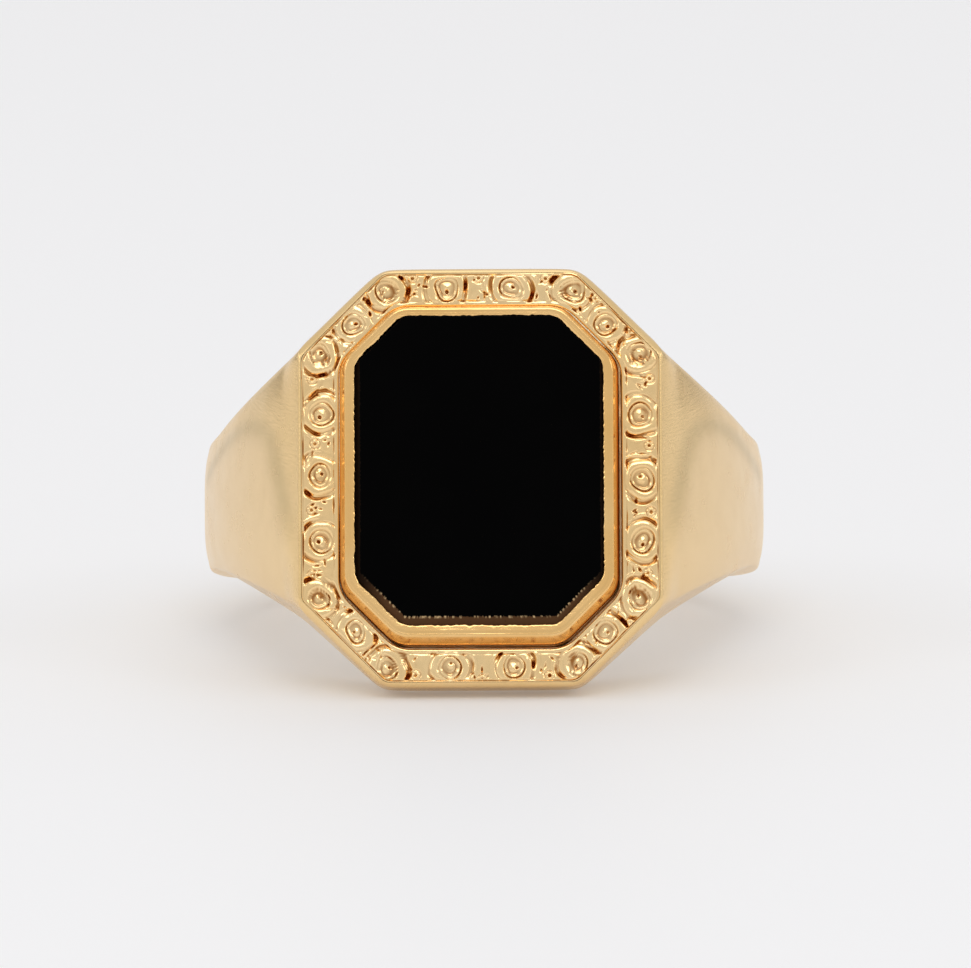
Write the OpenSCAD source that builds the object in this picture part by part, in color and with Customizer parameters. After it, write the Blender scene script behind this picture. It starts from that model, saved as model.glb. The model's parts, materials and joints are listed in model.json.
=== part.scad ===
// Signet ring: a gold hoop that widens into an eight-sided head, with a chased
// border, and a black stone tablet held in a collet that is let into the head.
//
// Bench frame: X runs across the ring, Y along the finger, and Z from the
// centre of the hoop up through the head. laid_down() turns it as it lies on a
// table, on the head's lower edge and the back of the hoop, head to the front.

/* [Hoop] */
// Inside diameter of the hoop, where the finger goes
bore_d = 19.5; // [18:0.1:20.5]
// Thickness of the hoop's wall at its sides
wall_side = 1.45; // [1.2:0.05:1.6]
// Thickness of the hoop's wall at the back
wall_back = 1.3; // [1.1:0.05:1.45]
// Height of the band along the finger, at the sides of the hoop
band_side = 5.2; // [4.6:0.1:5.8]
// Height of the band along the finger, at the back of the hoop
band_back = 3.8; // [3.2:0.1:4.4]
// Thickness of the solder seam that closes the hoop at the back
seam_t = 0.16; // [0.1:0.02:0.3]

/* [Head] */
// Width of the head across the finger
head_w = 14.1; // [13.8:0.1:14.8]
// Height of the head along the finger
head_h = 16.6; // [16:0.1:17]
// Length cut off each corner of the head, along either side
head_cut = 3.2; // [2.9:0.05:3.4]
// Thickness of the head between the hoop's bore and its flat face
head_t = 3.05; // [2.9:0.05:3.3]
// Height of the head's straight rim, before its underside draws in
rim_t = 1.8; // [1.4:0.1:2]
// How strongly the shoulders flare from the band out to the head
flare = 2.2; // [1.8:0.1:2.6]
// Direction, from the head's, at which the shoulder's curve runs into the hoop
shoulder_angle = 80; // [74:1:84]

/* [Border] */
// Thickness of the chased border plate, which is let in flush with the head's face
border_t = 0.6; // [0.5:0.05:0.8]
// Width of the head's plain rim beside the plate, at the shoulders
side_rim = 0.15; // [0.1:0.05:0.2]
// Width of the head's plain rim beyond the plate, at the ends
end_rim = 0.4; // [0.3:0.02:0.44]
// Diameter of each rosette
rosette_d = 0.95; // [0.7:0.05:1]
// Height of each rosette above the plate
rosette_h = 0.08; // [0.05:0.01:0.12]
// Rosettes along each long side of the border
rosettes_long = 5; // [3:1:5]
// Rosettes along each short side of the border
rosettes_short = 4; // [2:1:4]

/* [Setting] */
// Width of the stone at its girdle
stone_w = 10; // [9.8:0.1:10.2]
// Height of the stone at its girdle
stone_h = 12.4; // [12.2:0.1:12.6]
// Length cut off each corner of the stone, along either side
stone_cut = 1.92; // [1.7:0.02:2.1]
// Thickness of the stone
stone_t = 1.8; // [1.6:0.1:1.9]
// Width of the bevel round the stone's flat top
bevel_w = 0.45; // [0.35:0.05:0.5]
// Height of the bevel
bevel_h = 0.28; // [0.2:0.02:0.3]
// Thickness of the collet's wall
collet_t = 0.4; // [0.3:0.05:0.45]
// How far the collet's lip is pressed in over the stone's bevel
lip = 0.15; // [0.1:0.05:0.25]
// How far the collet's wall leans in where it stands above the border
lean = 0.3; // [0.2:0.05:0.35]
// How far the collet's rim stands above the border plate
collet_rise = 0.4; // [0.35:0.05:0.5]
// Slit between the collet and the metal round it
slit = 0.1; // [0.06:0.02:0.14]
// Width of the ledge that the stone rests on
ledge_w = 0.6; // [0.4:0.1:0.8]
// Thickness of the bearing strip on the ledge
bearing_t = 0.4; // [0.3:0.05:0.45]
// Thickness of the cement that beds the stone
cement_t = 0.1; // [0.06:0.02:0.14]

/* [Hidden] */
$fn = 96;
bore_r = bore_d / 2;
hoop_r = bore_r + wall_side;
back_z = bore_r + wall_back;
hoop_z = hoop_r - back_z;           // the hoop's outside is a little off centre
face_z = bore_r + head_t;
rim_z = face_z - rim_t;
plate_w = head_w - 2 * side_rim;
plate_h = head_h - 2 * end_rim;
plate_z = face_z - border_t;        // the floor of the recess that the plate lies in
collet_z = face_z + collet_rise;
table_z = collet_z - 0.05;          // the stone's flat top, just below the rim
girdle_z = table_z - bevel_h;
lip_z = girdle_z + bevel_h * lip / bevel_w; // the lip's underside, on the bevel
stone_z = table_z - stone_t;
bearing_z = stone_z - cement_t;
seat_z = bearing_z - bearing_t;     // the ledge inside the head
solder_h = plate_z - seat_z - 0.1;  // the solder stops just below the plate
collet_w = stone_w + 2 * collet_t;
collet_h = stone_h + 2 * collet_t;
pocket_w = collet_w + 2 * slit;
pocket_h = collet_h + 2 * slit;
pocket_cut = cut_at(collet_t + slit);
window_w = stone_w - 2 * ledge_w;
window_h = stone_h - 2 * ledge_w;
window_cut = cut_at(-ledge_w);
long = 40;                          // longer than the ring, for cuts and outlines

// The shoulder is an arc from the head's side to its foot on the hoop, where the
// two circles touch. The foot is sunk a little under the hoop's surface.
sink = 0.04;
foot_dir = [sin(shoulder_angle), cos(shoulder_angle)];
foot = [0, hoop_z] + (hoop_r - sink) * foot_dir;
top = [head_w / 2, face_z];
chord = top - foot;
shoulder_r = -(chord * chord) / (2 * chord * foot_dir);
shoulder_mid = foot - shoulder_r * foot_dir;
top_angle = atan2(top.x - shoulder_mid.x, top.y - shoulder_mid.y);

// The ring lies on the lower edge of the head's rim and of the band's back
tilt = atan((head_h - band_back) / 2 / (rim_z + back_z));

gold = "#d9b56c";
pale_gold = "#e6cd92";
red_gold = "#d0a058";

// Corner cut of an eight-sided outline that runs grow outside the stone's
function cut_at(grow) = stone_cut + (2 - sqrt(2)) * grow;

// Half the band's height, z above or below the centre of the hoop
function half_band(z) = z < 0
    ? (band_side - (band_side - band_back) * pow(-z / back_z, 1.5)) / 2
    : (band_side + (head_h - band_side) * pow(min(z / rim_z, 1), flare)) / 2;

// Middles of n rosettes spaced evenly along a side of the given length
function spread(n, length) = [for (i = [0:n - 1]) length * ((i + 0.5) / n - 0.5)];

module laid_down() {
    rotate([90 - tilt, 0, 0])
        children();
}

module octagon(w, h, cut) {
    x = w / 2;
    y = h / 2;
    polygon([[x, y - cut], [x - cut, y], [cut - x, y], [-x, y - cut],
             [-x, cut - y], [cut - x, -y], [x - cut, -y], [x, cut - y]]);
}

module octagon_prism(w, h, cut, low, high) {
    translate([0, 0, low])
        linear_extrude(high - low)
            octagon(w, h, cut);
}

// One wall-to-wall slice of an eight-sided block. profile lists, from the
// bottom up, how far the wall stands in and how high that is.
module slice(angle, half, profile) {
    side = [for (p = profile) [half - p[0], p[1]]];
    mirrored = [for (i = [len(side) - 1:-1:0]) [-side[i][0], side[i][1]]];
    rotate([0, 0, angle])
        rotate([90, 0, 0])
            linear_extrude(long, center = true)
                polygon(concat(side, mirrored));
}

module octagon_block(w, h, cut, profile) {
    diagonal = (w / 2 + h / 2 - cut) / sqrt(2);
    intersection() {
        slice(0, w / 2, profile);
        slice(90, h / 2, profile);
        slice(45, diagonal, profile);
        slice(-45, diagonal, profile);
    }
}

// The shoulders and the flat face, seen along the finger
module shoulders_outline() {
    steps = 10;
    right = [for (i = [0:steps])
        let (a = top_angle + (shoulder_angle - top_angle) * i / steps)
        shoulder_mid + shoulder_r * [sin(a), cos(a)]];
    left = [for (i = [steps:-1:0]) [-right[i].x, right[i].y]];
    polygon(concat(right, left));
}

module hoop_and_shoulders() {
    rotate([90, 0, 0]) {
        translate([0, hoop_z, 0])
            cylinder(r = hoop_r, h = long, center = true);
        linear_extrude(long, center = true)
            shoulders_outline();
    }
}

// The outline seen from the side: the band's height from the back to the face
module side_outline() {
    steps = 14;
    below = [for (i = [0:steps]) -back_z * (1 - i / steps)];
    above = [for (i = [1:steps]) rim_z * i / steps];
    heights = concat(below, above, [face_z]);
    right = [for (z = heights) [half_band(z), z]];
    left = [for (i = [len(right) - 1:-1:0]) [-right[i][0], right[i][1]]];
    polygon(concat(right, left));
}

// The outline seen from the front: the head and the shoulders beside it
module front_outline() {
    x = [head_w / 2 - head_cut, head_w / 2, 0.95 * hoop_r, hoop_r];
    y = [head_h / 2, head_h / 2 - head_cut, band_side / 2, band_side / 2];
    right = [for (i = [0:3]) [x[i], y[i]]];
    right_low = [for (i = [3:-1:0]) [x[i], -y[i]]];
    left_low = [for (i = [0:3]) [-x[i], -y[i]]];
    left = [for (i = [3:-1:0]) [-x[i], y[i]]];
    polygon(concat(right, right_low, left_low, left));
}

module hoop_block() {
    difference() {
        intersection() {
            hoop_and_shoulders();
            rotate([90, 0, 90])
                linear_extrude(long, center = true)
                    side_outline();
            linear_extrude(long, center = true)
                front_outline();
        }
        rotate([90, 0, 0])
            cylinder(r = bore_r, h = long, center = true);
    }
}

module seam_slab() {
    translate([-seam_t / 2, -long / 2, -long])
        cube([seam_t, long, long]);
}

// Hoop, shoulders and the head's body, with a recess for the border plate and a
// stepped window for the setting
module shank() {
    color(gold)
        laid_down()
            difference() {
                hoop_block();
                octagon_prism(plate_w, plate_h, head_cut, plate_z, long);
                octagon_prism(pocket_w, pocket_h, pocket_cut, seat_z, long);
                octagon_prism(window_w, window_h, window_cut, 0, long);
                seam_slab();
            }
}

// Solder that closes the hoop at the back
module shank_seam() {
    color(pale_gold)
        laid_down()
            intersection() {
                hoop_block();
                seam_slab();
            }
}

module rosette() {
    cylinder(d = rosette_d, h = rosette_h);
    cylinder(d = rosette_d / 2, h = 2 * rosette_h);
}

// One rosette on each corner, and rows of them along the sides
module rosettes() {
    x = (plate_w + pocket_w) / 4;
    y = (plate_h + pocket_h) / 4;
    corner = cut_at((x + y - stone_w / 2 - stone_h / 2) / 2) / 2;
    for (side = [-1, 1]) {
        for (along = spread(rosettes_long, 2 * (y - corner)))
            translate([side * x, along, 0])
                rosette();
        for (along = spread(rosettes_short, 2 * (x - corner)))
            translate([along, side * y, 0])
                rosette();
        for (end = [-1, 1])
            translate([side * (x - corner), end * (y - corner), 0])
                rosette();
    }
}

// Chased frame, soldered into the recess of the head's face
module border_plate() {
    color(pale_gold)
        laid_down() {
            difference() {
                octagon_prism(plate_w, plate_h, head_cut, plate_z, face_z);
                octagon_prism(pocket_w, pocket_h, pocket_cut, 0, long);
            }
            translate([0, 0, face_z])
                rosettes();
        }
}

module tablet() {
    octagon_block(stone_w, stone_h, stone_cut,
                  [[0, stone_z], [0, girdle_z], [bevel_w, table_z]]);
}

// Strip of gold bent round the stone, with its top edge pressed over the bevel
module collet() {
    color(red_gold)
        laid_down()
            difference() {
                octagon_block(collet_w, collet_h, cut_at(collet_t),
                              [[0, seat_z], [0, face_z - 0.1], [lean, collet_z]]);
                octagon_block(stone_w, stone_h, stone_cut,
                              [[0, 0], [0, girdle_z], [lip, lip_z], [lip, long]]);
            }
}

// Solder that fills the slit round the foot of the collet
module collet_solder() {
    color(pale_gold)
        laid_down()
            difference() {
                octagon_prism(pocket_w, pocket_h, pocket_cut, seat_z, seat_z + solder_h);
                octagon_prism(collet_w, collet_h, cut_at(collet_t), 0, long);
            }
}

// Flat frame that fits inside the stone's outline, on the ledge
module ledge_frame(low, high) {
    difference() {
        octagon_prism(stone_w, stone_h, stone_cut, low, high);
        octagon_prism(window_w, window_h, window_cut, 0, long);
    }
}

// Inner strip of gold that carries the stone
module bearing() {
    color(red_gold)
        laid_down()
            ledge_frame(seat_z, bearing_z);
}

// Setter's cement between the bearing and the stone
module setting_cement() {
    color("#3a3028")
        laid_down()
            ledge_frame(bearing_z, stone_z);
}

// Flat black tablet with a narrow bevel round its top
module stone() {
    color("#101012")
        laid_down()
            tablet();
}

shank();
shank_seam();
border_plate();
collet();
collet_solder();
bearing();
setting_cement();
stone();
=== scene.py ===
import json
import math
import bpy
import numpy as np
from mathutils import Matrix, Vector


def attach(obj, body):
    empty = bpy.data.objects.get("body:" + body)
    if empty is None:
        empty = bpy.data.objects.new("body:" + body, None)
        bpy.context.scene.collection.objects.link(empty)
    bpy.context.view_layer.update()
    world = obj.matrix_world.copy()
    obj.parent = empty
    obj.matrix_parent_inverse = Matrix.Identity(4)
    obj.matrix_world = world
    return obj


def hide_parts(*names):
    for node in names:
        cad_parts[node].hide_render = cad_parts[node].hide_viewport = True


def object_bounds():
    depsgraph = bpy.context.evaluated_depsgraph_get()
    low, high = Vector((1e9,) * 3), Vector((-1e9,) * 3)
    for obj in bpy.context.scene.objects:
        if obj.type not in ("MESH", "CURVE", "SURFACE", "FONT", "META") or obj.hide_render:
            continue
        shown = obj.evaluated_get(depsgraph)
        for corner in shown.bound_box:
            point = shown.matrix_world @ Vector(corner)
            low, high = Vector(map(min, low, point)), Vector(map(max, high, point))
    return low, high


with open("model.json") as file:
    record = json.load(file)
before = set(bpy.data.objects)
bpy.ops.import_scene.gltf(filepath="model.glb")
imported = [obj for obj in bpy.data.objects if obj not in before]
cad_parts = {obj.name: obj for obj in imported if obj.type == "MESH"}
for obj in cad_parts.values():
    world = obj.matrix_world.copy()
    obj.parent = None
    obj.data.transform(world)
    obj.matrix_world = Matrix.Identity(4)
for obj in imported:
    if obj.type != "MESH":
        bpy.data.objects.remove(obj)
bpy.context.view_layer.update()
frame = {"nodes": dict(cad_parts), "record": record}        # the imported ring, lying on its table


# ------------------------------------------------------------------- shank
# Hoop, shoulders and the body of the head are one casting of yellow gold,
# filed to shape and satin-polished. The head has a recess for the border and
# a stepped window behind the stone.

MM = 0.001
mounts = {mount["name"]: mount for mount in frame["record"]["mounts"]}
finger = np.array(mounts["finger_bore"]["axis"])
outward = np.array(mounts["stone_table"]["axis"])
bench = np.array([np.cross(finger, outward), finger, outward])


def reach(node):
    """Lowest and highest corner of a CAD node, in mm along the bench axes:
    across the ring, along the finger, and out through the head."""
    mesh = frame["nodes"][node].data
    co = np.empty(len(mesh.vertices) * 3)
    mesh.vertices.foreach_get("co", co)
    co = co.reshape(-1, 3) @ bench.T / MM
    return co.min(0), co.max(0)


def skin(name, grid, around=True, caps=False):
    """Mesh over a grid of bench points, rows by columns. Each column closes on
    itself, and so do the rows if around is set; otherwise caps close the
    first and last row. The faces are turned outwards by the sign of the
    volume, the sum of a . (b x c) over the faces' corners."""
    rows, columns = grid.shape[:2]
    index = np.arange(rows * columns).reshape(rows, columns)
    if around:
        index = np.vstack([index, index[:1]])
    right = np.roll(index, -1, axis=1)
    quads = np.stack([index[:-1], index[1:], right[1:], right[:-1]], -1).reshape(-1, 4)
    points = grid.reshape(-1, 3) @ bench * MM
    faces = quads.tolist()
    if caps:
        faces += [index[0].tolist(), index[-1][::-1].tolist()]
    a, b, c, d = (points[quads[:, i]] - points.mean(0) for i in range(4))
    volume = (a * np.cross(b, c)).sum() + (a * np.cross(c, d)).sum()
    if volume < 0:
        faces = [face[::-1] for face in faces]
    mesh = bpy.data.meshes.new(name)
    mesh.from_pydata(points.tolist(), [], faces)
    smooth = np.ones(len(faces), bool)
    smooth[len(quads):] = False
    mesh.polygons.foreach_set("use_smooth", smooth)
    mesh.update()
    piece = bpy.data.objects.new(name, mesh)
    bpy.context.scene.collection.objects.link(piece)
    return piece


def bench_points(piece):
    """The piece's vertices in bench millimetres."""
    co = np.empty(len(piece.data.vertices) * 3)
    piece.data.vertices.foreach_get("co", co)
    return co.reshape(-1, 3) @ bench.T / MM


def put_points(piece, points):
    """Moves the piece's vertices to these bench points."""
    piece.data.vertices.foreach_set("co", (points @ bench * MM).ravel())
    piece.data.update()


def put_mark(piece, name, values):
    """Stores one number for each vertex under this name."""
    mark = piece.data.attributes.new(name, "FLOAT", "POINT")
    mark.data.foreach_set("value", values.ravel())


def crisp(piece, degrees):
    """Shades the piece smooth but for edges that turn by more than degrees,
    and its large end faces flat."""
    mesh = piece.data
    mesh.set_sharp_from_angle(angle=math.radians(degrees))
    corners = np.empty(len(mesh.polygons), int)
    mesh.polygons.foreach_get("loop_total", corners)
    mesh.polygons.foreach_set("use_smooth", corners < 9)
    mesh.update()


def carve(piece, cutter):
    """Takes the cutter's shape out of the piece for good, and drops the cutter."""
    cut = piece.modifiers.new("cut", "BOOLEAN")
    cut.operation = "DIFFERENCE"
    cut.solver = "EXACT"
    cut.object = cutter
    bpy.context.view_layer.update()
    whole = piece.evaluated_get(bpy.context.evaluated_depsgraph_get())
    mesh = bpy.data.meshes.new_from_object(whole)
    piece.modifiers.clear()
    piece.data = mesh
    bpy.data.objects.remove(cutter)


def low_of(a, b, soft):
    """Smooth minimum: half of a + b - root((a - b)^2 + soft^2)."""
    return (a + b - np.sqrt((a - b) ** 2 + soft ** 2)) / 2


def high_of(a, b, soft):
    """Smooth maximum, the mirror of low_of."""
    return (a + b + np.sqrt((a - b) ** 2 + soft ** 2)) / 2


def step(value, start, end):
    """0 before start, 1 after end, and 3t^2 - 2t^3 between."""
    t = np.clip((value - start) / (end - start), 0, 1)
    return t * t * (3 - 2 * t)


def bend(a, corner, b, count):
    """Points of the curve (1-t)^2 a + 2t(1-t) corner + t^2 b, ends left out,
    for arrays of points; the new axis is the second one."""
    t = (np.arange(count) + 1)[None, :, None] / (count + 1)
    a, corner, b = a[:, None], corner[:, None], b[:, None]
    return (1 - t) ** 2 * a + 2 * t * (1 - t) * corner + t ** 2 * b


def octagon(half_x, half_y, cut, radius, counts, turn=10):
    """Points along an eight-sided outline with rounded corners: three counts
    are the points on a long side, a short side and a cut corner, and each
    corner is an arc of turn points, tangent to both its sides."""
    corners = np.array([[half_x, cut - half_y], [half_x, half_y - cut],
                        [half_x - cut, half_y], [cut - half_x, half_y],
                        [-half_x, half_y - cut], [-half_x, cut - half_y],
                        [cut - half_x, -half_y], [half_x - cut, -half_y]])
    sides = np.roll(corners, -1, axis=0) - corners
    sides /= np.linalg.norm(sides, axis=1)[:, None]
    before = np.roll(sides, 1, axis=0)
    inset = radius * math.tan(math.pi / 8)
    starts, ends = corners - inset * before, corners + inset * sides
    bow = np.linspace(0, math.pi / 4, turn)[:, None]
    long_side, short_side, cut_side = counts
    steps = [long_side, cut_side, short_side, cut_side] * 2
    points = []
    for k in range(8):
        inwards = np.array([-before[k][1], before[k][0]])
        middle = starts[k] + radius * inwards
        points.append(middle + radius * (np.sin(bow) * before[k] - np.cos(bow) * inwards))
        along = (np.arange(steps[k]) + 1)[:, None] / (steps[k] + 1)
        points.append(ends[k] + along * (starts[(k + 1) % 8] - ends[k]))
    return np.vstack(points)


def prism(name, outline, low, high):
    """Straight block over an outline, from low to high along the third axis."""
    grid = np.array([np.column_stack([outline, np.full(len(outline), z)]) for z in (low, high)])
    return skin(name, grid, around=False, caps=True)


plate_high = reach("border_plate")[1]
stone_low, stone_high = reach("stone")
collet_low, collet_high = reach("collet")
shank_low, shank_high = reach("shank")

bore_r = mounts["finger_bore"]["dims"]["r_mm"]
hoop_r = shank_high[0]
back_z = -shank_low[2]
hoop_mid = hoop_r - back_z          # the hoop's outside is a little off centre
face_z = shank_high[2]
head_half = shank_high[1]
side_rim = 0.15                     # plain metal beside the border plate
head_side = plate_high[0] + side_rim
head_cut = 3.2                      # cut off each corner of the head, along both sides
plate_half = plate_high[:2] + [0.06, 0.08]
plate_cut = head_cut + 0.03
plate_t = 0.6
rim_t = 1.8                         # depth of the head's straight rim
rim_z = face_z - rim_t
band_side, band_back = 2.6, 1.9     # half the height of the band
flare = 2.2
shoulder_turn = math.radians(80)    # where the shoulder's arc meets the hoop's
seam_half = 0.08
stone_cut = 1.92
collet_t = collet_high[0] - stone_high[0]
slit = 0.1                          # between the collet and the metal round it
ledge = 0.6                         # width of the ledge that carries the bearing
seat_z = collet_low[2]
window_z = 2.0                      # lower than the inside of the head


def cut_at(grow):
    """Corner cut of the outline that runs grow outside the stone's."""
    return stone_cut + (2 - math.sqrt(2)) * grow


def side_height(z):
    """Half height that the side view allows: it falls towards the back as a
    power of the depth, and climbs to the head as (z / rim)^flare."""
    taper = 1.5
    below = band_side - (band_side - band_back) * np.clip(-z / back_z, 0, 1) ** taper
    above = band_side + (head_half - band_side) * np.clip(z / rim_z, 0, 2) ** flare
    return np.where(z < 0, below, low_of(above, head_half + 0.005, 0.08))


def front_height(x):
    """Half height that the front view allows: the head's straight end, its cut
    corner, the shoulder's slope, and the band, blended into each other."""
    x = np.abs(x)
    corner = head_half - (x - (head_side - head_cut))
    shoulder_x = 0.95 * hoop_r
    slope = (head_half - head_cut - band_side) / (shoulder_x - head_side)
    shoulder = band_side + slope * (shoulder_x - x)
    beyond = high_of(high_of(corner, shoulder, 0.1), band_side - 0.01, 0.12)
    return low_of(beyond, head_half + 0.01, 0.34)


# The outer line of the hoop, seen along the finger: flat face, a small turn at
# the head's side, the shoulder's arc, and the hoop's arc round to the seam.
foot_way = np.array([math.sin(shoulder_turn), math.cos(shoulder_turn)])
foot = np.array([0, hoop_mid]) + hoop_r * foot_way
top = np.array([head_side, face_z])
shoulder_r = -((top - foot) @ (top - foot)) / (2 * (top - foot) @ foot_way)
shoulder_mid = foot - shoulder_r * foot_way
top_turn = math.atan2(*(top - shoulder_mid))
edge = 0.09
across_face = np.linspace(0.06, head_side - edge, 112)
first = np.column_stack([across_face, np.full(len(across_face), face_z)])
angles = np.linspace(top_turn + edge / shoulder_r, shoulder_turn, 86)
shoulder = shoulder_mid + shoulder_r * np.column_stack([np.sin(angles), np.cos(angles)])
corner_turn = bend(first[-1:], top[None], shoulder[:1], 8)[0]
last_turn = math.pi - seam_half / hoop_r
angles = np.linspace(shoulder_turn, last_turn, 96)[1:]
hoop = np.array([0, hoop_mid]) + hoop_r * np.column_stack([np.sin(angles), np.cos(angles)])
half_line = np.vstack([first, corner_turn, shoulder, hoop])
line = np.vstack([half_line[::-1] * [-1, 1], half_line])


def section_loops(line):
    """Closed sections of the hoop at the points of its outer line. Each runs up
    the outer face, round its edge, down the side to the bore, round that edge
    and back along the bore; the lower half mirrors the upper one. The side's
    height at each depth is the smooth lesser of front_height and side_height,
    drawn in by a small draft near the head's face."""
    x, z = line.T
    inner = line / np.linalg.norm(line, axis=1)[:, None] * bore_r
    depth = np.linalg.norm(inner - line, axis=1)
    within_head = step(-np.abs(x), -head_side - 0.1, -head_side + 0.1)
    on_face = step(z, face_z - 0.5, face_z - 0.05) * within_head
    near_head = step(z, 3.0, face_z - 1.0) * (1 - on_face)
    draft, draft_reach = 0.10 * near_head, 2.2
    side_blend = 0.2

    def side(f):
        """Points of the side at the fractions f of the way in to the bore."""
        place = line[:, None] + f[:, :, None] * (inner - line)[:, None]
        px, pz = place[..., 0], place[..., 1]
        height = low_of(front_height(px), side_height(pz), side_blend)
        height = height - draft[:, None] * np.clip(1 - draft_reach * f, 0, 1) ** 1.5
        return np.stack([px, height, pz], -1)

    def at(places, height):
        return np.stack([places[:, 0], height, places[:, 1]], -1)

    zero, one = np.zeros((len(line), 1)), np.ones((len(line), 1))
    outer_top, bore_top = side(zero)[:, 0, 1], side(one)[:, 0, 1]
    cut_x = head_side - head_cut
    on_cut = on_face * step(np.abs(x), cut_x - 0.3, cut_x + 0.3)
    round_outer = 0.32 + 0.05 * on_face + 0.15 * on_cut
    round_depth = round_outer + 0.22 * on_face
    round_bore = 0.28
    f_outer = (round_depth / depth)[:, None]
    f_bore = (round_bore / depth)[:, None]
    crown = 0.16 * (1 - on_face) * step(-z, -face_z + 0.2, -face_z + 1.4)
    inward = (inner - line) / depth[:, None]

    def face(s):
        """Points of the outer face; its crown sinks as the fourth power."""
        sunk = line[:, None] + (crown[:, None] * s ** 4)[:, :, None] * inward[:, None]
        height = s * (outer_top - round_outer)[:, None]
        return np.stack([sunk[..., 0], height, sunk[..., 1]], -1)

    up = np.linspace(0, 1, 22)[None, :] * one
    across = face(up)
    ahead = line + crown[:, None] * 1.25 * inward
    edge_out = bend(across[:, -1], at(ahead, outer_top), side(f_outer)[:, 0], 9)
    f = f_outer + (1 - f_outer - f_bore) * np.linspace(0, 1, 20)[None, :]
    wall = side(f)
    start_bore = at(inner, bore_top - round_bore)
    edge_in = bend(wall[:, -1], at(inner, bore_top), start_bore, 7)
    down = start_bore[:, None] * np.array([1, 0, 1])
    rest = (bore_top - round_bore)[:, None] * np.linspace(1, 0, 9)[None, :]
    bore = down + rest[:, :, None] * np.array([0, 1, 0])
    half = np.concatenate([across, edge_out, wall, edge_in, bore], axis=1)
    lower = half[:, -2:0:-1] * np.array([1, -1, 1])
    return np.concatenate([half, lower], axis=1)


shank = skin("ring_shank", section_loops(line), around=False, caps=True)

# The recess for the border, the seat for collet and bearing, and the window
rough_counts = (12, 10, 8)
for half_x, half_y, cut, low in (
    (plate_half[0] + 0.012, plate_half[1] + 0.012, plate_cut, face_z - plate_t),
    (stone_high[0] + collet_t + slit, stone_high[1] + collet_t + slit,
     cut_at(collet_t + slit), seat_z),
    (stone_high[0] - ledge, stone_high[1] - ledge, cut_at(-ledge), window_z),
):
    outline = octagon(half_x, half_y, cut, 0.5, rough_counts)
    carve(shank, prism("cutter", outline, low, face_z + 3))
crisp(shank, 32)
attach(shank, "root")
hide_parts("shank")


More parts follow.
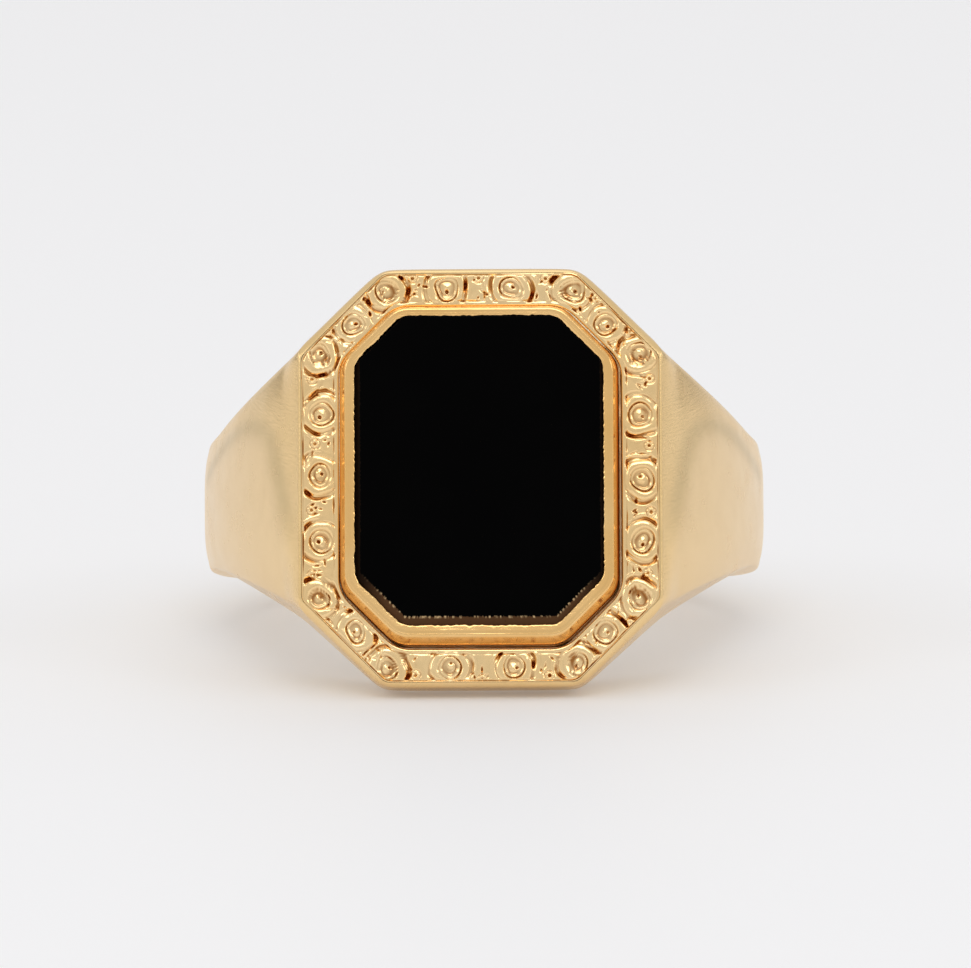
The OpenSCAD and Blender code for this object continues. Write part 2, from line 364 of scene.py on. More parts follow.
def gold(name, colour, deep, roughness, grain, scratched):
    """Yellow gold: the colour drifts a little between two tones over a few
    millimetres, the polish varies, and hairlines and a fine grain roughen the
    surface, with longer scratches in three directions."""
    material = bpy.data.materials.new(name)
    material.use_nodes = True
    nodes, links = material.node_tree.nodes, material.node_tree.links
    shader = nodes["Principled BSDF"]
    shader.inputs["Metallic"].default_value = 1.0
    place = nodes.new("ShaderNodeTexCoord")

    drift = nodes.new("ShaderNodeTexNoise")
    drift.inputs["Scale"].default_value = 260
    drift.inputs["Detail"].default_value = 4
    links.new(place.outputs["Object"], drift.inputs["Vector"])
    tone = nodes.new("ShaderNodeMix")
    tone.data_type = "RGBA"
    tone.inputs["A"].default_value = (*deep, 1)
    tone.inputs["B"].default_value = (*colour, 1)
    fade = nodes.new("ShaderNodeMapRange")
    fade.inputs["From Min"].default_value = 0.3
    fade.inputs["From Max"].default_value = 0.6
    links.new(drift.outputs["Fac"], fade.inputs["Value"])
    links.new(fade.outputs["Result"], tone.inputs["Factor"])
    links.new(tone.outputs["Result"], shader.inputs["Base Color"])

    wear = nodes.new("ShaderNodeTexNoise")
    wear.inputs["Scale"].default_value = 900
    wear.inputs["Detail"].default_value = 5
    links.new(place.outputs["Object"], wear.inputs["Vector"])
    polish = nodes.new("ShaderNodeMapRange")
    polish.inputs["From Min"].default_value = 0.3
    polish.inputs["From Max"].default_value = 0.7
    polish.inputs["To Min"].default_value = roughness[0]
    polish.inputs["To Max"].default_value = roughness[1]
    links.new(wear.outputs["Fac"], polish.inputs["Value"])
    links.new(polish.outputs["Result"], shader.inputs["Roughness"])

    stretch = nodes.new("ShaderNodeMapping")
    stretch.inputs["Scale"].default_value = (1500, 1500, 12000)
    links.new(place.outputs["Object"], stretch.inputs["Vector"])
    hairs = nodes.new("ShaderNodeTexNoise")
    hairs.inputs["Scale"].default_value = 1
    hairs.inputs["Detail"].default_value = 3
    links.new(stretch.outputs["Vector"], hairs.inputs["Vector"])
    fine = nodes.new("ShaderNodeTexNoise")
    fine.inputs["Scale"].default_value = 16000
    fine.inputs["Detail"].default_value = 2
    links.new(place.outputs["Object"], fine.inputs["Vector"])
    height = fine.outputs["Fac"]
    for turn in (-0.9, 0.3, 1.1):
        lay = nodes.new("ShaderNodeMapping")
        lay.inputs["Rotation"].default_value = (0.2, turn, 0.4)
        lay.inputs["Scale"].default_value = (330, 15000, 15000)
        links.new(place.outputs["Object"], lay.inputs["Vector"])
        streaks = nodes.new("ShaderNodeTexNoise")
        streaks.inputs["Scale"].default_value = 1
        streaks.inputs["Detail"].default_value = 1
        links.new(lay.outputs["Vector"], streaks.inputs["Vector"])
        scratch = nodes.new("ShaderNodeMapRange")
        scratch.inputs["From Min"].default_value = 0.66
        scratch.inputs["From Max"].default_value = 0.74
        scratch.inputs["To Max"].default_value = -scratched
        links.new(streaks.outputs["Fac"], scratch.inputs["Value"])
        total = nodes.new("ShaderNodeMath")
        total.operation = "ADD"
        links.new(height, total.inputs[0])
        links.new(scratch.outputs["Result"], total.inputs[1])
        height = total.outputs["Value"]
    both = nodes.new("ShaderNodeMath")
    both.operation = "ADD"
    links.new(hairs.outputs["Fac"], both.inputs[0])
    links.new(height, both.inputs[1])
    bump = nodes.new("ShaderNodeBump")
    bump.inputs["Strength"].default_value = grain
    bump.inputs["Distance"].default_value = 0.00002
    links.new(both.outputs["Value"], bump.inputs["Height"])
    links.new(bump.outputs["Normal"], shader.inputs["Normal"])
    return material


def tint(material, mark_name, colour, most):
    """Mixes a colour over the material's base colour by the piece's mark, up to
    the share called most where the mark is 1."""
    nodes, links = material.node_tree.nodes, material.node_tree.links
    base = nodes["Principled BSDF"].inputs["Base Color"]
    mark = nodes.new("ShaderNodeAttribute")
    mark.attribute_name = mark_name
    share = nodes.new("ShaderNodeMapRange")
    share.inputs["To Max"].default_value = most
    links.new(mark.outputs["Fac"], share.inputs["Value"])
    over = nodes.new("ShaderNodeMix")
    over.data_type = "RGBA"
    over.inputs["B"].default_value = (*colour, 1)
    links.new(share.outputs["Result"], over.inputs["Factor"])
    links.new(base.links[0].from_socket, over.inputs["A"])
    links.new(over.outputs["Result"], base)


# A darker line arches over the middle of each shoulder, a painted reflection,
# and the hoop beyond it is painted a little darker than the strip beside the
# head, a painted shade. The line is the zero of the smooth greater of two
# distances: from a nearly straight line beside the head, and from a parabola
# over the hoop.
line_x, line_lean, line_y = 7.95, 0.17, 0.85
arch_x, arch_y, arch_bend = 9.1, 2.5, 0.38
x, y, z = bench_points(shank).T
past_side = line_x + line_lean * (y - line_y) - np.abs(x)
past_top = y - arch_y + arch_bend * (np.abs(x) - arch_x) ** 2
beyond = high_of(past_side, past_top, 0.6)
outside = step(np.hypot(x, z - hoop_mid), hoop_r - 0.6, hoop_r - 0.3) * step(z, 1.0, 2.5)
line_width = 0.36
reflection_band = outside * np.exp(-(beyond / line_width) ** 2) * step(y, -3.2, -0.5)
put_mark(shank, "reflection_band", reflection_band)
put_mark(shank, "hoop_shade", outside * step(-beyond, -0.1, 0.5))

satin_gold = gold("satin_gold", (0.92, 0.665, 0.335), (0.89, 0.625, 0.295),
                  (0.20, 0.29), grain=0.16, scratched=0.2)
# Painted shade over the hoop and the painted reflection along each shoulder's line
tint(satin_gold, "hoop_shade", (0.84, 0.63, 0.37), 0.6)
tint(satin_gold, "reflection_band", (0.58, 0.43, 0.22), 0.6)
shank.data.materials.append(satin_gold)


# -------------------------------------------------------------- shank seam
# Where the hoop is bent shut, and later opened to size it, a thin wall of
# gold solder joins its ends. It is filed flush and shows as a paler line.

sweep = np.linspace(-seam_half, seam_half, 5) / hoop_r
filed = 0.006
round_back = np.column_stack([np.sin(sweep), -np.cos(sweep)])
seam_line = np.array([0, hoop_mid]) + (hoop_r - filed) * round_back
seam = skin("hoop_seam", section_loops(seam_line), around=False, caps=True)
crisp(seam, 32)
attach(seam, "root")
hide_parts("shank_seam")
solder_gold = gold("solder_gold", (0.90, 0.76, 0.52), (0.86, 0.70, 0.45),
                   (0.30, 0.42), grain=0.4, scratched=0.8)
seam.data.materials.append(solder_gold)


# ---------------------------------------------------------------- bearing
# The bearing is a strip of gold bent to the stone's outline and set on the
# ledge inside the head. The stone rests on it, and its inner edge shows
# through the window from behind.

def strip(name, loop, radius, counts=(120, 90, 40)):
    """A strip carried round the stone's outline. loop is the closed section, a
    list of (how far outside the stone, height); each of its points follows
    the outline grown by that much, with corners of that much more radius."""
    rings = []
    for grow, z in loop:
        outline = octagon(stone_high[0] + grow, stone_high[1] + grow, cut_at(grow),
                          max(radius + grow, 0.02), counts)
        rings.append(np.column_stack([outline, np.full(len(outline), z)]))
    return skin(name, np.array(rings).transpose(1, 0, 2))


def rounded(loop, radius, count=4):
    """The loop with each corner turned into a small curve, with count points
    between its ends. The curve starts and ends at the radius from the corner,
    or at 0.45 of the side where that is nearer."""
    loop = np.array(loop, float)
    before, after = np.roll(loop, 1, axis=0) - loop, np.roll(loop, -1, axis=0) - loop
    lengths = [np.linalg.norm(way, axis=1)[:, None] for way in (before, after)]
    insets = [np.minimum(radius, 0.45 * length) for length in lengths]
    starts = loop + before / lengths[0] * insets[0]
    ends = loop + after / lengths[1] * insets[1]
    curves = bend(starts, loop, ends, count)
    return np.concatenate([starts[:, None], curves, ends[:, None]], axis=1).reshape(-1, 2)


bearing_top = reach("bearing")[1][2]
bearing_loop = [(-0.01, seat_z), (-0.01, bearing_top), (-ledge, bearing_top), (-ledge, seat_z)]
bearing = strip("bearing_strip", rounded(bearing_loop, 0.05), 0.4)
crisp(bearing, 40)
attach(bearing, "root")
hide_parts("bearing")
bright_gold = gold("bright_gold", (0.95, 0.62, 0.265), (0.92, 0.555, 0.20),
                   (0.12, 0.20), grain=0.12, scratched=0.25)
bearing.data.materials.append(bright_gold)


# ------------------------------------------------------------------ collet
# The collet is a strip of gold bent round the stone and let into the head.
# Its wall leans in where it stands above the border, and its top edge is
# burnished down over the stone's bevel, which leaves a ragged inner lip.

rim_top = collet_high[2]
table_z = stone_high[2]
bevel_h = 0.28
girdle_z = table_z - bevel_h
lip, crest = -0.165, 0.20            # how far outside the stone's edge they run
lip_shift, crest_shift = 0.18, 0.10  # towards the top of the head
off_centre = np.array([-0.045, 0.07])

# Up the outside, over the crest with its two worn waves, down the lip and back
# under it along the bevel
collet_loop = rounded([
    (0.0, seat_z), (collet_t, seat_z), (collet_t, face_z - 0.5), (collet_t + 0.03, face_z - 0.04),
    (crest + 0.02, rim_top - 0.03), (crest - 0.05, rim_top - 0.002), (crest - 0.13, rim_top - 0.016),
    (crest - 0.21, rim_top - 0.006), (crest - 0.29, rim_top - 0.024), (lip + 0.04, rim_top - 0.03),
    (lip, rim_top - 0.06), (lip, girdle_z + 0.215), (0.0, girdle_z + 0.005)], 0.05, 2)
collet = strip("collet_strip", collet_loop, 0.9, counts=(300, 220, 90))


def ripple(x, y, length, seed, waves=28):
    """Random waviness with no repeat: the mean of many plane waves of about the
    given wavelength, each with its own direction and phase, about 0 to +-1."""
    draw = np.random.default_rng(seed)
    total = np.zeros_like(x)
    for _ in range(waves):
        angle, phase = draw.uniform(0, 2 * math.pi, 2)
        pitch = 2 * math.pi / (length * draw.uniform(0.7, 1.5))
        total += np.sin(pitch * (x * math.cos(angle) + y * math.sin(angle)) + phase)
    return total / math.sqrt(waves / 2) / 1.5


def from_centre(x, y):
    """How far outside the stone's outline a point lies, by the nearest side."""
    x, y = np.abs(x), np.abs(y)
    slant = (stone_high[0] + stone_high[1] - stone_cut) / math.sqrt(2)
    return np.maximum(np.maximum(x - stone_high[0], y - stone_high[1]),
                      (x + y) / math.sqrt(2) - slant)


# The collet's upper part stands off centre in its slit, its crest and lip lean
# further towards the top, and the lip's edge is left ragged
points = bench_points(collet)
x, y, z = points.T
inner = step(-from_centre(x, y), 0.02, -lip - 0.03) * step(z, girdle_z + 0.02, girdle_z + 0.1)
points[:, :2] += step(z, face_z - 0.9, face_z - 0.3)[:, None] * off_centre
points[:, 1] += step(z, face_z - 0.1, rim_top - 0.03) * crest_shift
points[:, 1] += inner * (lip_shift - crest_shift)
ragged = 0.012 * ripple(x, y, 0.22, 11) + 0.012 * ripple(x, y, 0.8, 12)
size = np.hypot(x, y)
points[:, 0] += inner * ragged * x / size
points[:, 1] += inner * ragged * y / size
upper = step(z, face_z, rim_top - 0.02)
sunk = 0.008
uneven = 0.006 * ripple(x, y, 2.4, 13) + 0.001 * ripple(x, y, 0.4, 14)
points[:, 2] += upper * uneven - upper * sunk
put_points(collet, points)

# Painted shade: the foot of the wall is painted a deeper orange towards the
# lower right, where the slit is open
lower_right = step(0.3 * x / stone_high[0] - y / stone_high[1], -0.4, 0.5)
put_mark(collet, "foot", (1 - step(z, face_z + 0.05, rim_top - 0.08)) * lower_right)
crisp(collet, 50)
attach(collet, "root")
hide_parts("collet")
collet_gold = bright_gold.copy()
collet_gold.name = "collet_gold"
# Painted shade at the foot of the wall
tint(collet_gold, "foot", (0.66, 0.35, 0.11), 1.0)
collet.data.materials.append(collet_gold)


# ----------------------------------------------------------- collet solder
# Solder drawn in round the collet's foot holds it in the head. It has filled
# the slit along the top and one side and stays deep in it elsewhere.

solder_top = reach("collet_solder")[1][2]
play = 0.004
near, far = collet_t + play, collet_t + slit - play
solder_loop = [(near, seat_z), (far, seat_z), (far, solder_top),
               (collet_t + slit / 2, solder_top - 0.04), (near, solder_top)]
solder = strip("solder_fillet", solder_loop, 0.35, counts=(240, 180, 70))
points = bench_points(solder)
x, y, z = points.T
towards_fill = y / stone_high[1] - 0.5 * x / stone_high[0] + 0.12 * ripple(x, y, 2.0, 41)
flooded = step(towards_fill, -0.1, 0.5) * step(z, seat_z + 0.1, solder_top - 0.05)
points[:, 2] += flooded * (face_z - 0.07 - solder_top)

# Its inner side goes with the collet where that leans off centre
follows = np.tile([1, 0, 0, 0.5, 1], len(points) // len(solder_loop))
follows = follows * step(points[:, 2], face_z - 0.9, face_z - 0.3)
points[:, :2] += follows[:, None] * off_centre
put_points(solder, points)
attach(solder, "root")
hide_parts("collet_solder")
solder.data.materials.append(solder_gold)


# ------------------------------------------------------------ border plate
# The border is a flat eight-sided frame, chased by hand with rosettes that
# have a scooped eye, a plain raised ring and cut crescents round it, and
# soldered into the head's recess. Small ring punches fill the gaps.

border_counts = (340, 262, 130)
inner_line = octagon(stone_high[0] + collet_t + slit, stone_high[1] + collet_t + slit,
                     cut_at(collet_t + slit), 1.4, border_counts)
outer_line = octagon(plate_half[0], plate_half[1], plate_cut, 0.6, border_counts)
field_rows = 46
share = np.concatenate([np.linspace(0, 1, field_rows), [1, 1, 0, 0]])
half_way, foot_z = face_z - 0.3, face_z - plate_t + 0.01
heights = np.concatenate([np.full(field_rows, face_z), [half_way, foot_z, foot_z, half_way]])
flat = inner_line[:, None] + share[None, :, None] * (outer_line - inner_line)[:, None]
grid = np.dstack([flat, np.broadcast_to(heights, flat.shape[:2])])

x, y = grid[:, :field_rows, 0], grid[:, :field_rows, 1]
width = np.linalg.norm(outer_line - inner_line, axis=1)[:, None]
from_inner = share[None, :field_rows] * width
from_outer = width - from_inner


def rosette_places():
    """Middles of the rosettes: one on each cut corner, four along each short
    side and five along each long side, a little off the even spacing."""
    draw = np.random.default_rng(5)
    half_x = (plate_half[0] + stone_high[0] + collet_t + slit) / 2
    half_y = (plate_half[1] + stone_high[1] + collet_t + slit) / 2
    corner = cut_at((half_x + half_y - stone_high[0] - stone_high[1]) / 2) / 2
    places = [(a * (half_x - corner), b * (half_y - corner)) for a in (-1, 1) for b in (-1, 1)]
    for side in (-1, 1):
        for k in range(5):
            places.append((side * half_x, (half_y - corner) * (0.4 * k - 0.8)))
        for k in range(4):
            places.append(((half_x - corner) * (0.5 * k - 0.75), side * half_y))
    return np.array(places) + draw.uniform(-0.1, 0.1, (len(places), 2))


def ridge(distance, middle, width):
    """A rounded ridge, exp of minus the squared distance over the width."""
    return np.exp(-((distance - middle) / width) ** 2)


def rosette(x, y, draw):
    """Height of one rosette round the origin: a dished eye with one turn of a
    spiral, a low boss and an off-centre pit, a plain ring round it, and outside
    that three crescent cuts, some with a deeper nick where the graver went in."""
    pit_r, eye_r, ring_r, nick_r, bank_r = 0.09, 0.36, 0.49, 0.68, 0.83
    r = np.hypot(x * draw.uniform(0.93, 1.05), y * draw.uniform(0.93, 1.05))
    turn = np.arctan2(y, x)
    lean, spin = draw.uniform(0, 2 * math.pi, 2)
    way = draw.choice([-1, 1])
    eye = -0.075 * (1 - step(r, 0.24, eye_r))
    curl = np.angle(np.exp(1j * (turn - spin)))
    eye -= 0.03 * ridge(r, 0.20 + way * 0.02 * curl, 0.03) * np.exp(-(curl / 1.5) ** 2)
    boss_r, boss_way = draw.uniform(0.0, 0.07), draw.uniform(0, 2 * math.pi)
    from_boss = np.hypot(x - boss_r * math.cos(boss_way), y - boss_r * math.sin(boss_way))
    eye += 0.045 * ridge(from_boss, 0, 0.11)
    pit_way = boss_way + draw.uniform(1.2, 4.8)
    from_pit = np.hypot(x - pit_r * math.cos(pit_way), y - pit_r * math.sin(pit_way))
    eye -= draw.uniform(0.07, 0.17) * ridge(from_pit, 0, 0.05)
    groove = -0.095 * ridge(r, eye_r, 0.030) * (0.7 + 0.3 * np.cos(turn - lean))
    ring = 0.032 * ridge(r, ring_r, 0.10)
    shape = eye + groove + ring - 0.035 * ridge(r, 0.64, 0.03)
    for lobe in range(3):
        facing = np.angle(np.exp(1j * (turn - lean - lobe * draw.uniform(1.7, 2.4))))
        span = draw.uniform(0.45, 1.0)
        along = np.exp(-(facing / span) ** 2)
        shape -= draw.uniform(0.07, 0.13) * ridge(r, draw.uniform(0.68, 0.73), 0.055) * along
        shape += 0.022 * ridge(r, bank_r, 0.045) * along
        nick = np.angle(np.exp(1j * (facing - draw.uniform(-0.6, 0.6))))
        shape -= draw.choice([0, 0.12, 0.20]) * ridge(r, nick_r, 0.040) * np.exp(-(nick / 0.20) ** 2)
    return shape


def gouge(x, y, draw, length, width):
    """A short cut of the graver: a long narrow pit in a random direction."""
    angle = draw.uniform(0, math.pi)
    along = x * math.cos(angle) + y * math.sin(angle)
    across = y * math.cos(angle) - x * math.sin(angle)
    return -draw.uniform(0.03, 0.09) * np.exp(-(along / length) ** 2 - (across / width) ** 2)


def hollow(height):
    """How far each point of the field lies under the mean height of the points
    up to span away from it, along the outline and across it."""
    span = 4
    along = sum(np.roll(height, k, axis=0) for k in range(-span, span + 1))
    rows = np.arange(field_rows)
    total = sum(along[:, np.clip(rows + k, 0, field_rows - 1)] for k in range(-span, span + 1))
    return total / (2 * span + 1) ** 2 - height


relief = 0.014 * ripple(x, y, 1.3, 21) + 0.006 * ripple(x, y, 0.5, 22)
warp_x, warp_y = 0.045 * ripple(x, y, 1.1, 26), 0.045 * ripple(x, y, 1.1, 27)
chaser = np.random.default_rng(9)
rosette_scale = 1.18
places = rosette_places()
for middle in places:
    distance = np.hypot(x - middle[0], y - middle[1])
    across, along = x + warp_x - middle[0], y + warp_y - middle[1]
    shape = rosette(across / rosette_scale, along / rosette_scale, chaser)
    relief = relief + shape * (1 - step(distance, 0.98, 1.12))

# Between neighbouring rosettes: a ring punch close to the outer edge, and a
# few short cuts
turns = np.arctan2(places[:, 1], places[:, 0])
order = places[np.argsort(turns)]
between = (order + np.roll(order, -1, axis=0)) / 2
for middle in between:
    outer = middle * (1 + chaser.uniform(0.035, 0.065))
    distance = np.hypot(x - outer[0], y - outer[1])
    relief = relief + 0.03 * ridge(distance, 0.11, 0.045) - 0.07 * ridge(distance, 0, 0.05)
    relief = relief - 0.03 * ridge(distance, 0.19, 0.035)
    for cut in range(5):
        spot = middle + chaser.uniform(-0.40, 0.40, 2)
        relief = relief + gouge(x - spot[0], y - spot[1], chaser, chaser.uniform(0.06, 0.18), 0.035)

# The plate keeps a scored line along its outer edge, a shallow hollow along
# the inner one, and slightly broken edges
inside = step(from_inner, 0.10, 0.22) * step(from_outer, 0.07, 0.15)
score = -(0.028 + 0.02 * ripple(x, y, 2.2, 24)) * ridge(from_outer, 0.06, 0.022)
channel = -0.022 * ridge(from_inner, 0.20, 0.03) * (1 + ripple(x, y, 1.5, 25))
relief = relief * inside + channel + score
broken = 0.02 * (1 - step(from_outer, 0.0, 0.02)) + 0.045 * (1 - step(from_inner, 0.0, 0.05))
sunk = 0.012
grid[:, :field_rows, 2] = face_z - sunk + relief - broken
border = skin("rosette_border", grid)
# Painted shade: the relief's cuts and hollows are painted dark brown, the more the deeper they lie
recess_shade = np.zeros(grid.shape[:2])
darkest = 0.05
recess_shade[:, :field_rows] = np.clip(0.35 * step(-relief, 0.02, 0.10) + hollow(relief) / darkest, 0, 1)
put_mark(border, "recess_shade", recess_shade)
crisp(border, 60)
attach(border, "root")
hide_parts("border_plate")

chased_gold = gold("chased_gold", (0.98, 0.72, 0.38), (0.96, 0.66, 0.31),
                   (0.12, 0.19), grain=0.12, scratched=0.25)
# Painted shade in the relief's cuts and hollows
tint(chased_gold, "recess_shade", (0.40, 0.16, 0.04), 1.0)
border.data.materials.append(chased_gold)


# ------------------------------------------------------------------ cement
# A thin bed of dark setter's cement lies between bearing and stone. It has
# squeezed out a little at its inner edge.

cement_top = reach("setting_cement")[1][2]
swell = 0.03
cement_loop = [(-0.02, bearing_top), (-0.02, cement_top), (-ledge + swell, cement_top),
               (-ledge, (bearing_top + cement_top) / 2), (-ledge + swell, bearing_top)]
cement = strip("cement_bed", rounded(cement_loop, 0.02), 0.4)
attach(cement, "root")
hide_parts("setting_cement")
dark_cement = bpy.data.materials.new("dark_cement")
dark_cement.use_nodes = True
nodes, links = dark_cement.node_tree.nodes, dark_cement.node_tree.links
shader = nodes["Principled BSDF"]
place = nodes.new("ShaderNodeTexCoord")
grains = nodes.new("ShaderNodeTexNoise")
grains.inputs["Scale"].default_value = 5000
links.new(place.outputs["Object"], grains.inputs["Vector"])
browns = nodes.new("ShaderNodeMix")
browns.data_type = "RGBA"
browns.inputs["A"].default_value = (0.05, 0.035, 0.02, 1)
browns.inputs["B"].default_value = (0.13, 0.09, 0.05, 1)
links.new(grains.outputs["Fac"], browns.inputs["Factor"])
links.new(browns.outputs["Result"], shader.inputs["Base Color"])
lumps = nodes.new("ShaderNodeBump")
lumps.inputs["Distance"].default_value = 0.00003
links.new(grains.outputs["Fac"], lumps.inputs["Height"])
links.new(lumps.outputs["Normal"], shader.inputs["Normal"])
shader.inputs["Roughness"].default_value = 0.45
cement.data.materials.append(dark_cement)


# ------------------------------------------------------------------- stone
# The stone is a tablet of black onyx with a flat polished top and a narrow
# bevel that the lip grips. Years of wear have chipped the bevel's top edge.

stone_base = stone_low[2]
stone_counts = (560, 420, 150)
table, table_shift = -0.335, 0.40
table_middle = -2.8

# Every row of the stone is its outline grown by the first value, at the height
# given by the second, and moved towards the top by the third
profile = np.array([(-0.06, stone_base, 0), (0, stone_base + 0.06, 0), (0, girdle_z - 0.03, 0),
                    (-0.012, girdle_z + 0.008, 0), (table + 0.02, table_z - 0.014, table_shift),
                    (table, table_z - 0.003, table_shift), (table - 0.04, table_z, table_shift),
                    (table - 0.12, table_z, table_shift),
                    (table_middle, table_z, table_shift)])
bevel_foot = 3
foot, edge = profile[bevel_foot:bevel_foot + 2]
bevel_rows = np.linspace(0, 1, 12)[1:-1, None]
profile = np.vstack([profile[:bevel_foot + 1], foot + bevel_rows * (edge - foot),
                     profile[bevel_foot + 1:]])
rings = []
for grow, z, shift in profile:
    outline = octagon(stone_high[0] + grow, stone_high[1] + grow, cut_at(grow),
                      max(0.35 + grow, 0.12), stone_counts)
    rings.append(np.column_stack([outline, np.full(len(outline), z)]) + [0, shift, 0])
rings = np.array(rings)
top_row = len(profile) - 5
x, y = rings[top_row, :, 0], rings[top_row, :, 1]
chips = 0.03 * np.clip(ripple(x, y, 0.12, 31), 0, 1) + 0.008 * ripple(x, y, 0.6, 32)
for row in (top_row, top_row + 1):
    size = np.hypot(rings[row, :, 0], rings[row, :, 1])
    rings[row, :, :2] *= (1 - chips / size)[:, None]
stone = skin("onyx_tablet", rings, around=False, caps=True)
crisp(stone, 25)

# The bevel is tinted brown a little all round and fully along the bottom, and
# along the bottom its chipped edge carries pale painted glints
downwards = step(-y / stone_high[1], 0.6, 0.8)
ground = np.zeros(rings.shape[:2])
ground[bevel_foot:top_row + 1] = 0.1 + 0.9 * downwards
painted_edge_glints = np.zeros(rings.shape[:2])
painted_edge_glints[top_row:top_row + 2] = step(ripple(x, y, 0.15, 33), -0.2, 0.5) * downwards
put_mark(stone, "ground", ground)
put_mark(stone, "chipped", painted_edge_glints)
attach(stone, "root")
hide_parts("stone")

onyx = bpy.data.materials.new("black_onyx")
onyx.use_nodes = True
nodes, links = onyx.node_tree.nodes, onyx.node_tree.links
shader = nodes["Principled BSDF"]
shader.inputs["Specular IOR Level"].default_value = 0.02
place = nodes.new("ShaderNodeTexCoord")
cloud = nodes.new("ShaderNodeTexNoise")
cloud.inputs["Scale"].default_value = 420
cloud.inputs["Detail"].default_value = 6
links.new(place.outputs["Object"], cloud.inputs["Vector"])
blacks = nodes.new("ShaderNodeMix")
blacks.data_type = "RGBA"
blacks.inputs["A"].default_value = (0.0002, 0.0002, 0.0003, 1)
blacks.inputs["B"].default_value = (0.0009, 0.0008, 0.0008, 1)
links.new(cloud.outputs["Fac"], blacks.inputs["Factor"])

# Each mark is a speckled coat over the black; bare is how much noise it takes
# before the coat starts to show. The pale coat on the chipped edge is painted
# glints
layer = blacks.outputs["Result"]
for mark_name, colour, bare in (("ground", (0.085, 0.040, 0.017, 1), 0.1),
                                ("chipped", (0.60, 0.42, 0.22, 1), 0.35)):
    mark = nodes.new("ShaderNodeAttribute")
    mark.attribute_name = mark_name
    grit = nodes.new("ShaderNodeTexNoise")
    grit.inputs["Scale"].default_value = 7000
    links.new(place.outputs["Object"], grit.inputs["Vector"])
    speckle = nodes.new("ShaderNodeMapRange")
    speckle.inputs["From Min"].default_value = bare
    speckle.inputs["From Max"].default_value = bare + 0.25
    links.new(grit.outputs["Fac"], speckle.inputs["Value"])
    share = nodes.new("ShaderNodeMath")
    share.operation = "MULTIPLY"
    links.new(mark.outputs["Fac"], share.inputs[0])
    links.new(speckle.outputs["Result"], share.inputs[1])
    over = nodes.new("ShaderNodeMix")
    over.data_type = "RGBA"
    over.inputs["B"].default_value = colour
    links.new(share.outputs["Value"], over.inputs["Factor"])
    links.new(layer, over.inputs["A"])
    layer = over.outputs["Result"]
links.new(layer, shader.inputs["Base Color"])
haze = nodes.new("ShaderNodeTexNoise")
haze.inputs["Scale"].default_value = 1600
haze.inputs["Detail"].default_value = 6
links.new(place.outputs["Object"], haze.inputs["Vector"])
polish = nodes.new("ShaderNodeMapRange")
polish.inputs["To Min"].default_value = 0.02
polish.inputs["To Max"].default_value = 0.06
links.new(haze.outputs["Fac"], polish.inputs["Value"])
links.new(polish.outputs["Result"], shader.inputs["Roughness"])
stone.data.materials.append(onyx)


# ------------------------------------------------------------------ studio
# The ring lies on a white card, with soft boxes above it in front and behind
# and two on each side, in a pale room. The camera stands 0.4 m away and looks
# down at the ring, a little less steeply than the head's face looks up.

low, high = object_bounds()
floor_z = low.z


def card(name, corners):
    """Flat card with the four corners given in metres."""
    mesh = bpy.data.meshes.new(name)
    mesh.from_pydata(corners, [], [(0, 1, 2, 3)])
    piece = bpy.data.objects.new(name, mesh)
    bpy.context.scene.collection.objects.link(piece)
    return piece


wide = 4.0
floor_corners = [(-wide, -wide), (wide, -wide), (wide, wide), (-wide, wide)]
floor = card("floor", [(*corner, floor_z) for corner in floor_corners])
paper = bpy.data.materials.new("white_card")
paper.use_nodes = True
shader = paper.node_tree.nodes["Principled BSDF"]
shader.inputs["Base Color"].default_value = (0.77, 0.77, 0.785, 1)
shader.inputs["Emission Color"].default_value = (0.99, 0.99, 1.0, 1)
shader.inputs["Emission Strength"].default_value = 0.12
shader.inputs["Roughness"].default_value = 0.6
floor.data.materials.append(paper)


def soft_box(name, place, size, power):
    """Area light of that size, turned towards the ring."""
    light = bpy.data.lights.new(name, "AREA")
    light.shape = "RECTANGLE"
    light.size, light.size_y = size
    light.energy = power
    box = bpy.data.objects.new(name, light)
    bpy.context.scene.collection.objects.link(box)
    box.location = place
    way = -np.array(place)
    pitch = math.atan2(math.hypot(way[0], way[1]), -way[2])
    box.rotation_euler = (pitch, 0, math.atan2(way[1], way[0]) - math.pi / 2)


soft_box("top_box", (0, -0.38, 0.48), (0.34, 0.26), 0.6)
soft_box("back_box", (0, 0.2, 0.55), (0.6, 0.4), 0.4)
for side in (-1, 1):
    soft_box("side_box", (0.45 * side, -0.3, 0.3), (0.2, 0.16), 0.2)
    soft_box("low_box", (0.5 * side, 0.25, 0.15), (0.3, 0.2), 0.2)

world = bpy.data.worlds.new("room")
world.use_nodes = True
nodes, links = world.node_tree.nodes, world.node_tree.links
sky = nodes["Background"]
sky.inputs["Strength"].default_value = 1.0
direction = nodes.new("ShaderNodeTexCoord")
paint = nodes.new("ShaderNodeRGB")
paint.outputs[0].default_value = (0.725, 0.72, 0.715, 1)
walls = paint.outputs[0]

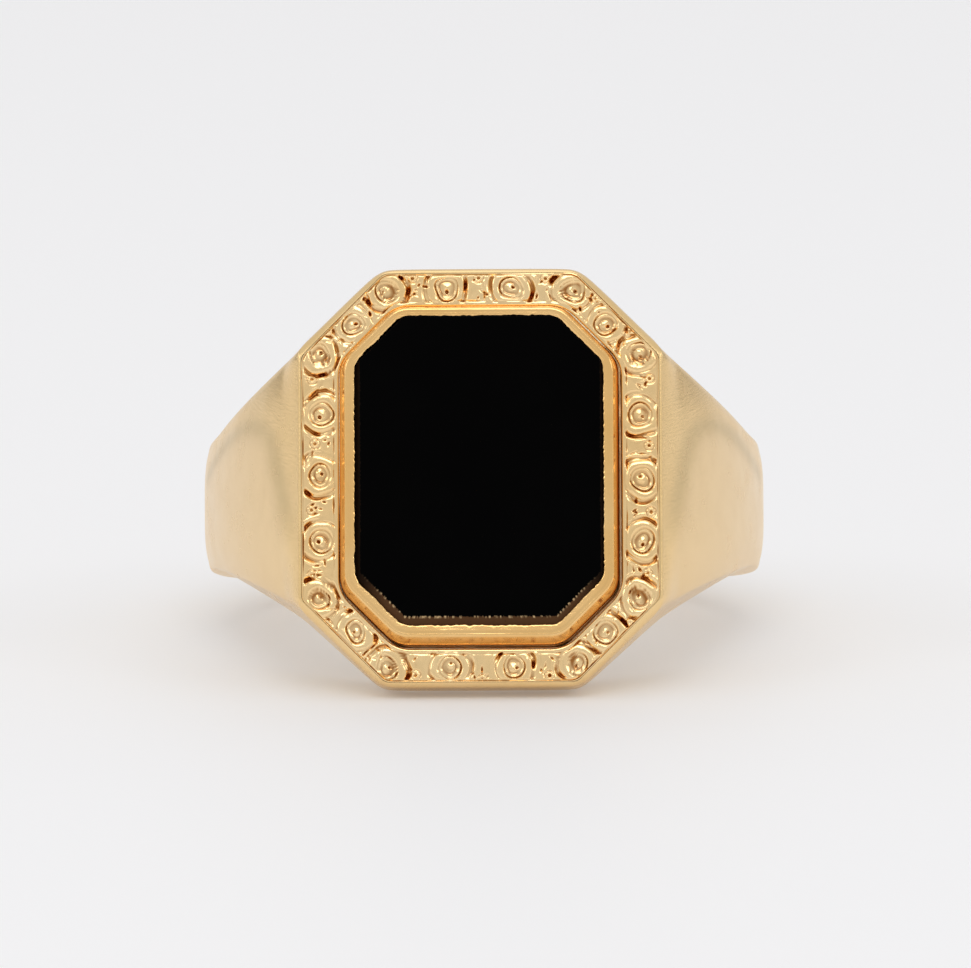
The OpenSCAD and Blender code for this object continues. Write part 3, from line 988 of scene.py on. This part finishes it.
# The room is darker in front and at both sides behind. Each patch: degrees
# round from the front and up, radii in degrees of its core and of its soft
# fringe, and how bright it is
for azimuth, height, core, fringe, shade in (
    (0, 8, 12, 18, 0.68),
    (125, 10, 6, 24, 0.15),
    (-125, 10, 6, 24, 0.15),
):
    turn, rise = math.radians(azimuth), math.radians(height)
    dot = nodes.new("ShaderNodeVectorMath")
    dot.operation = "DOT_PRODUCT"
    dot.inputs[1].default_value = (math.sin(turn) * math.cos(rise),
                                   -math.cos(turn) * math.cos(rise), math.sin(rise))
    links.new(direction.outputs["Generated"], dot.inputs[0])
    spot = nodes.new("ShaderNodeMapRange")
    spot.interpolation_type = "SMOOTHSTEP"
    spot.inputs["From Min"].default_value = math.cos(math.radians(fringe))
    spot.inputs["From Max"].default_value = math.cos(math.radians(core))
    links.new(dot.outputs["Value"], spot.inputs["Value"])
    dim = nodes.new("ShaderNodeMix")
    dim.data_type = "RGBA"
    dim.inputs["B"].default_value = (shade, shade, shade, 1)
    links.new(spot.outputs["Result"], dim.inputs["Factor"])
    links.new(walls, dim.inputs["A"])
    walls = dim.outputs["Result"]
links.new(walls, sky.inputs["Color"])
bpy.context.scene.world = world
bpy.context.scene.view_settings.view_transform = "Standard"

camera_away = 0.4
camera_rise = math.asin(outward[2]) - math.radians(5.5)
camera_side = math.radians(0.65)
camera_roll = math.radians(-0.4)
view_back = np.array([math.sin(camera_side) * math.cos(camera_rise),
                      -math.cos(camera_side) * math.cos(camera_rise), math.sin(camera_rise)])
view_right = np.array([math.cos(camera_side), math.sin(camera_side), 0])
view_up = np.cross(view_back, view_right)

# The lens makes the head this share of the view's width
head_in_view = 0.3735
sensor = 36
lens_data = bpy.data.cameras.new("camera")
lens_data.sensor_width = sensor
lens_data.lens = sensor * camera_away / (2 * head_side * MM / head_in_view)
lens_data.clip_start, lens_data.clip_end = 0.01, 20
camera = bpy.data.objects.new("camera", lens_data)
bpy.context.scene.collection.objects.link(camera)
face_middle = outward * face_z * MM
aim = face_middle + (0.2 * view_right - 0.27 * view_up) * MM
camera.location = aim + camera_away * view_back
turned = Matrix(np.column_stack([view_right, view_up, view_back]).tolist())
camera.rotation_euler = (turned @ Matrix.Rotation(camera_roll, 3, "Z")).to_euler()
bpy.context.scene.camera = camera
